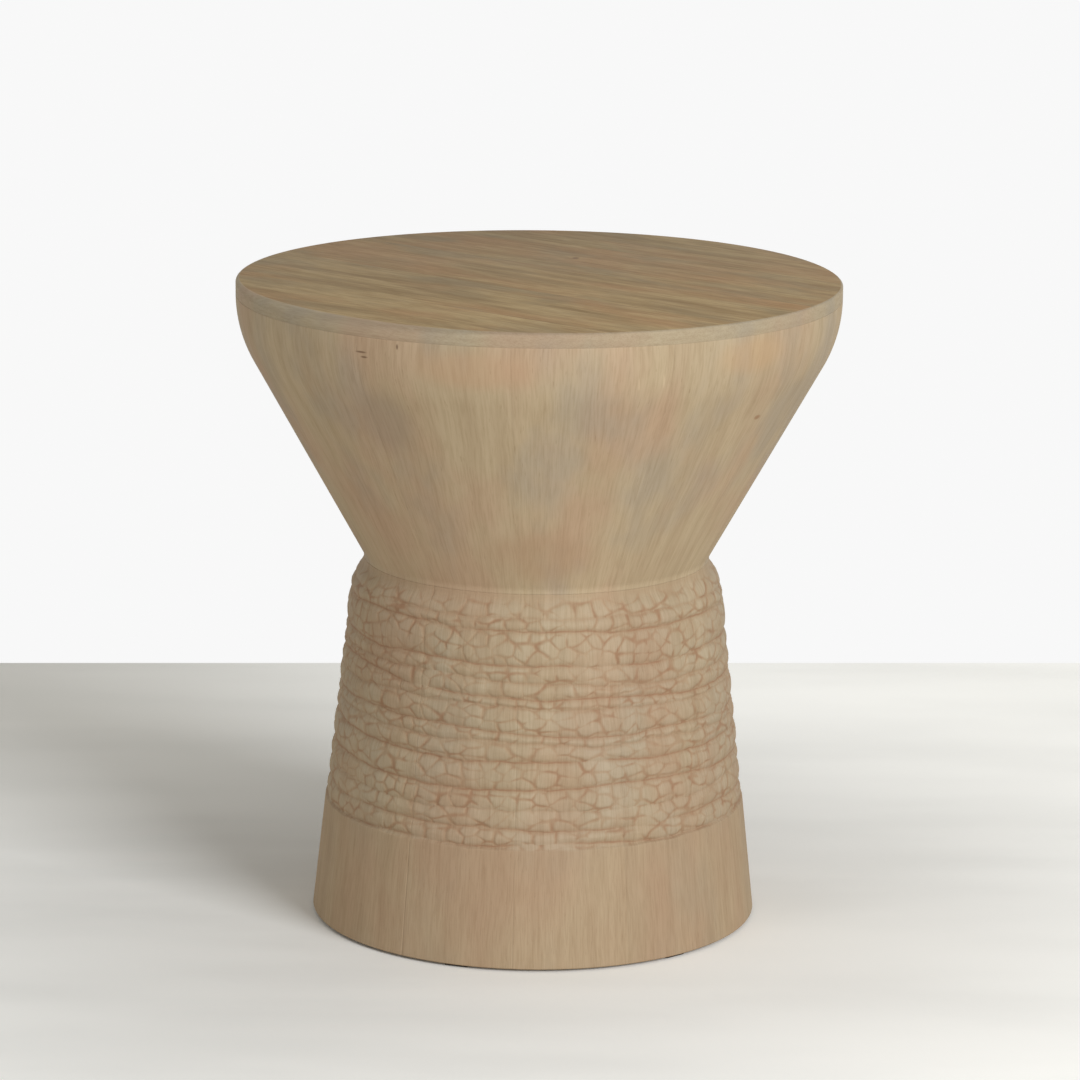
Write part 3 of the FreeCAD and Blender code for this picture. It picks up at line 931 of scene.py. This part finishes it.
@dataclass
class BoardedTop:
    """Five edge-glued boards with a round lip over a plug, with lengths in millimetres."""

    finish: Material
    turned_finish: Material
    count: int = 5
    radius: float = 254.0
    plug_radius: float = 228.3
    top: float = 547.0
    rim: float = 535.0
    ledge: float = 517.0
    grain_angle: float = -40.0
    grain_step: float = 0.61
    edge_round: float = 1.8
    edge_start: float = 40.0
    worn_angle: float = 226.0
    worn_spread: float = 30.0
    worn_inset: float = 11.0
    worn_drop: float = 6.0
    joint_ease: float = 0.2
    lip_inset: float = 0.25
    lip_ease: float = 0.7
    sharp_angle: float = 30.0
    arc_points: int = 90
    layering: float = 8.0
    lip_tone: float = -3.2
    # Crest share of the lip and eased edge: partly wear and partly a painted highlight that makes them paler,
    # like the lit side.
    lip_rubbed_and_highlit: float = 0.5
    # Board tones: partly each board's own tone, partly painted shade; the last two boards, on the right of
    # the top, are darker against the key light there.
    tones: tuple[float, ...] = (0.7, 0.1, 0.4, -0.9, -1.3)

    def build(self) -> None:
        """Make and hand over all the boards."""
        for number in range(self.count):
            piece = self.board(f"top_board_{number + 1}_look", number)
            piece.data.materials.append(self.finish)
            piece.data.materials.append(self.turned_finish)
            hand_over(piece, Slot.TOP, f"top_board_{number + 1}")

    def outline(self, number: int, radius: float, ease: float) -> np.ndarray:
        """Outline one board, cut to a circle.

        Args:
            number: Place of the board across the top, from 0.
            radius: Radius of the circle.
            ease: How far each joint edge is drawn in.

        Returns:
            Points along the outline as (along the grain, across it).
        """
        width = 2 * self.radius / self.count
        low = math.asin(max(-1.0, ((number - self.count / 2) * width + ease) / radius))
        high = math.asin(min(1.0, ((number + 1 - self.count / 2) * width - ease) / radius))
        if number == 0:
            angles = np.linspace(math.pi - high, 2 * math.pi + high, 2 * self.arc_points)
        elif number == self.count - 1:
            angles = np.linspace(low, math.pi - low, 2 * self.arc_points)
        else:
            right = np.linspace(low, high, self.arc_points)
            angles = np.concatenate([right, math.pi - right[::-1]])
        return radius * np.stack([np.cos(angles), np.sin(angles)], 1)

    def edge(self, number: int, turn: float) -> np.ndarray:
        """Draw one line round the eased upper edge of a board, which hands have worn more at the left.

        Args:
            number: Place of the board across the top, from 0.
            turn: How far the edge has turned from the flat top, in radians.

        Returns:
            Points along the line, in the board's own directions.
        """
        start = math.radians(self.edge_start)
        inward = (1 - math.sin(turn)) / (1 - math.sin(start))
        downward = 1 - math.cos(turn) / math.cos(start)
        rim = self.outline(number, self.radius, self.joint_ease * inward)
        direction = np.degrees(np.arctan2(rim[:, 1], rim[:, 0])) + self.grain_angle
        apart = (direction - self.worn_angle + 180) % 360 - 180
        wear = np.exp(-(apart / self.worn_spread) ** 2)
        share = 1 - (self.edge_round + self.worn_inset * wear) * inward / self.radius
        width = 2 * self.radius / self.count
        joints = (np.arange(1, self.count) - self.count / 2) * width
        from_joint = np.abs(rim[:, 1:] - joints).min(axis=1)
        across = rim[:, 1] * (1 - (1 - share) * np.clip(2 * from_joint / width, 0, 1))
        along = np.sign(rim[:, 0]) * np.sqrt(np.clip((self.radius * share) ** 2 - across ** 2, 0, None))
        height = self.top - (self.edge_round + self.worn_drop * wear) * downward
        return np.column_stack([along, across, height])

    def board(self, name: str, number: int) -> Piece:
        """Make one closed board with its grain, tone and crest attributes.

        Args:
            name: Name of the piece.
            number: Place of the board across the top, from 0.

        Returns:
            The board.
        """
        size = 2 * self.arc_points
        turns = np.radians(np.linspace(self.edge_start, 90, 7))
        rings = [self.edge(number, turn) for turn in turns]
        corners = ((self.radius, self.rim + self.lip_ease), (self.radius - self.lip_inset, self.rim),
                   (self.plug_radius, self.rim), (self.plug_radius, self.ledge))
        for radius, height in corners:
            rings.append(np.column_stack([self.outline(number, radius, 0.0), np.full(size, height)]))
        points = np.concatenate(rings)
        order = list(range(len(points)))
        sides = strips(len(rings), size, closed=True)[:, [0, 3, 2, 1]].tolist()
        faces = [order[:size], order[-size:][::-1]] + sides
        piece = new_piece(name, turned(points, self.grain_angle), faces)
        piece.data.set_sharp_from_angle(angle=math.radians(self.sharp_angle))
        piece.data.polygons.foreach_set("material_index", [0] + [1] * (len(faces) - 1))
        layer = points[:, 2] * MM * self.layering + self.grain_step * (number + 1)
        store(piece, "grain", np.column_stack([points[:, 1] * MM, points[:, 0] * MM, layer]))
        on_top = np.arange(len(points)) < size
        # Top tones include painted shade on the right-hand boards; the lip has a tone of its own.
        store(piece, "tone", np.where(on_top, self.tones[number], self.lip_tone))
        # The lip and the eased edge take part of the crest paleness: wear plus painted highlight.
        store(piece, "crest", np.where(on_top, 0.0, self.lip_rubbed_and_highlit))
        return piece


@dataclass
class FeltPads:
    """Square felt pads under every other stave, made by one Geometry Nodes tree."""

    finish: Material
    count: int = 6
    first_angle: float = 10.0
    ring_radius: float = 175.9
    size: float = 20.0
    corner: float = 1.6
    corner_points: int = 7
    levels: tuple[tuple[float, float], ...] = (
        (0.35, 0.0), (0.1, 0.12), (0.0, 0.5), (0.0, 1.5), (0.1, 1.88), (0.35, 2.0),
    )

    def build(self) -> None:
        """Make and hand over the pads as one piece."""
        pad = self.pad()
        run_tree(pad, self.tree(), {
            "Ring Radius": self.ring_radius * MM,
            "First Angle": math.radians(self.first_angle),
            "Count": self.count,
            "Finish": self.finish,
        })
        hand_over(pad, Slot.FELT, "felt_pads")

    def pad(self) -> Piece:
        """Make one pad at the origin: a square with rounded corners, drawn in at its pressed edges.

        Returns:
            The pad.
        """
        quarter = np.linspace(0, math.pi / 2, self.corner_points)
        angles = np.concatenate([quarter + step * math.pi / 2 for step in range(4)])
        spokes = np.column_stack([np.cos(angles), np.sin(angles)])
        signs = np.repeat([(1, 1), (-1, 1), (-1, -1), (1, -1)], self.corner_points, 0)
        centres = signs * (self.size / 2 - self.corner)
        rings = [np.column_stack([centres + spokes * (self.corner - inward), np.full(len(angles), height)])
                 for inward, height in self.levels]
        points = np.concatenate(rings)
        order = list(range(len(points)))
        faces = [order[:len(angles)][::-1], order[-len(angles):]]
        faces += strips(len(rings), len(angles), closed=True).tolist()
        return new_piece("felt_pads_look", points * MM, faces)

    def tree(self) -> Tree:
        """Build the tree that sets copies of the pad round the foot.

        Returns:
            The tree.
        """
        kinds = {"Ring Radius": "Float", "First Angle": "Float", "Count": "Int"}
        tree = new_tree("pads_round_the_foot", kinds)
        graph = Graph(tree)
        entry = graph.outputs("NodeGroupInput")
        step = graph.math("DIVIDE", 2 * math.pi, entry["Count"])
        angle = entry["First Angle"] + graph.field("GeometryNodeInputIndex") * step
        east = graph.math("COSINE", angle) * entry["Ring Radius"]
        north = graph.math("SINE", angle) * entry["Ring Radius"]
        place = graph.field("ShaderNodeCombineXYZ", {0: east, 1: north})
        turn = graph.field("ShaderNodeCombineXYZ", {2: angle})
        spots = graph.field("GeometryNodePoints", {"Count": entry["Count"], "Position": place})
        inputs = {"Points": spots, "Instance": entry["Geometry"], "Rotation": turn}
        end_tree(graph, graph.field("GeometryNodeInstanceOnPoints", inputs), entry["Finish"])
        return tree


@dataclass
class HiddenJoinery:
    """Solids that keep their shape: tongues, tenons and the two discs."""

    joint_finish: Material
    panel_finish: Material
    joints: tuple[str, ...] = ("top_tongues", "upper_tongues", "waist_tenons", "lower_tongues")
    panels: tuple[str, ...] = ("waist_disc", "base_disc")

    def dress(self) -> None:
        """Give each solid its finish."""
        for names, finish in ((self.joints, self.joint_finish), (self.panels, self.panel_finish)):
            for name in names:
                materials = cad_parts[name].data.materials
                materials.clear()
                materials.append(finish)
                log.info("%s: finish %s", name, finish.name)


@dataclass
class Studio:
    """Floor, white surround, soft lights and the camera, with lengths in metres."""

    floor_finish: Material
    camera_place: Point = (0.0, -3.8412, 1.2095)
    camera_pitch: float = 13.007
    camera_roll: float = 0.605
    lens: float = 154.91
    sensor: float = 36.0
    shift: float = 0.0031
    floor_half: float = 4.0
    floor_front: float = -5.0
    floor_end: float = 0.828
    floor_slant: float = 0.0421
    surround_tint: Colour = (255, 250, 240)
    surround_light: float = 0.34
    surround_seen: float = 0.60

    def build(self) -> None:
        """Set up all that stands round the table."""
        self.floor()
        self.surround()
        self.lamp("key_light", (3.5, -4.37, 2.79), (0.0, 0.0, 0.25), 2.7, 258.0)
        self.lamp("fill_light", (-2.6, -2.8, 0.7), (0.0, 0.0, 0.35), 1.3, 20.0)
        self.camera()
        bpy.context.scene.view_settings.view_transform = "Standard"

    def floor(self) -> None:
        """Lay the floor, which ends behind the table as it does in the photograph."""
        half = self.floor_half
        left, right = (self.floor_end + side * half * self.floor_slant for side in (-1, 1))
        front = self.floor_front
        points = np.array([(-half, front, 0), (half, front, 0), (half, right, 0), (-half, left, 0)])
        floor = new_piece("floor", points, [[0, 1, 2, 3]])
        floor.data.materials.append(self.floor_finish)

    def surround(self) -> None:
        """Make the surround white to look at, and a soft even light on the table."""
        world = bpy.data.worlds.new("white_surround")
        world.use_nodes = True
        bpy.context.scene.world = world
        graph = Graph(world.node_tree)
        ray = graph.outputs("ShaderNodeLightPath")
        mirrored = graph.math("MAXIMUM", ray["Is Glossy Ray"], ray["Is Transmission Ray"])
        seen = graph.math("MAXIMUM", ray["Is Camera Ray"], mirrored)
        background = next(node for node in world.node_tree.nodes if node.type == "BACKGROUND")
        graph.feed(background, {
            "Color": graph.mix(seen, linear(self.surround_tint), linear((255, 255, 255))),
            "Strength": seen * self.surround_seen + self.surround_light,
        })

    def lamp(self, name: str, place: Point, target: Point, size: float, power: float) -> None:
        """Hang a square soft lamp.

        Args:
            name: Name of the lamp.
            place: Where it hangs.
            target: The point that it faces.
            size: Length of its sides.
            power: Its power in watts.
        """
        light = bpy.data.lights.new(name, "AREA")
        light.shape = "SQUARE"
        light.size = size
        light.energy = power
        lamp = bpy.data.objects.new(name, light)
        lamp.location = place
        lamp.rotation_euler = (Vector(target) - Vector(place)).to_track_quat("-Z", "Y").to_euler()
        bpy.context.scene.collection.objects.link(lamp)

    def camera(self) -> None:
        """Set the camera where the photograph's was."""
        data = bpy.data.cameras.new("camera")
        data.sensor_width = self.sensor
        data.lens = self.lens
        data.shift_x = self.shift
        camera = bpy.data.objects.new("camera", data)
        tilt = Matrix.Rotation(math.radians(90 - self.camera_pitch), 3, "X")
        roll = Matrix.Rotation(math.radians(self.camera_roll), 3, "Z")
        camera.rotation_euler = (tilt @ roll).to_euler()
        camera.location = self.camera_place
        bpy.context.scene.collection.objects.link(camera)
        bpy.context.scene.camera = camera


def main() -> None:
    """Build every piece of the table, dress it and set up the studio."""
    top_wood = WoodFinish(
        "top_wood_dry", (189, 166, 126), (144, 120, 84), (177, 142, 104), (155, 139, 109),
        clouds_follow=Clouds.BOARD, cloud=0.7, streak=0.8, fibre=1.0,
        blemishes=(Blemish((0.031, 0.105, 0.547), (0.004, 0.006, 0.004), (96, 62, 42), 0.6),),
    )
    flare_wood = WoodFinish(
        "flare_wood_dry", (188, 171, 143), (166, 146, 118), (184, 154, 130), (166, 155, 139),
        blemishes=(
            Blemish((-0.1411, -0.2103, 0.5226), (0.007, 0.007, 0.0012), (88, 62, 40), 0.65),
            Blemish((-0.1387, -0.2113, 0.5187), (0.004, 0.006, 0.0012), (88, 62, 40), 0.65),
            Blemish((-0.1120, -0.2278, 0.5302), (0.0012, 0.006, 0.003), (84, 60, 40), 0.65),
            Blemish((0.1778, -0.1421, 0.4594), (0.005, 0.006, 0.003), (140, 98, 66), 0.6),
            Blemish((0.0796, -0.2362, 0.5033), (0.0012, 0.006, 0.008), (208, 190, 160), 0.4),
            Blemish((0.0994, -0.2291, 0.5054), (0.0014, 0.006, 0.009), (208, 190, 160), 0.4),
            Blemish((0.005, -0.165, 0.345), (0.060, 0.060, 0.036), (164, 130, 102), 0.28),
            Blemish((-0.050, -0.245, 0.515), (0.070, 0.050, 0.022), (186, 150, 120), 0.4),
            Blemish((-0.123, -0.194, 0.463), (0.036, 0.040, 0.045), (148, 136, 123), 0.4),
            Blemish((0.172, -0.184, 0.519), (0.045, 0.050, 0.022), (192, 154, 114), 0.35),
        ),
    )
    carved_wood = WoodFinish(
        "carved_wood_dry", (177, 157, 130), (158, 135, 108), (172, 140, 116), (164, 149, 128), cloud=0.4,
    )
    joint_wood = PlainWoodFinish("joint_wood_sawn", (192, 164, 122), (170, 138, 98), (60.0, 60.0, 12.0))
    plywood = PlainWoodFinish("plywood_bare", (200, 172, 130), (176, 146, 104), (6.0, 90.0, 90.0))
    felt = FeltFinish("felt_pressed", (38, 30, 25), (70, 60, 52))
    floor = FloorFinish("floor_pale", (239, 241, 241), (231, 233, 233))
    Studio(floor.material()).build()
    flare_finish = flare_wood.material()
    BoardedTop(top_wood.material(), flare_finish).build()
    UpperRing(flare_finish).build()
    LowerRing(carved_wood.material()).build()
    FeltPads(felt.material()).build()
    HiddenJoinery(joint_wood.material(), plywood.material()).dress()


if __name__ == "__main__":
    logging.basicConfig(level=logging.INFO, format="%(message)s")
    main()
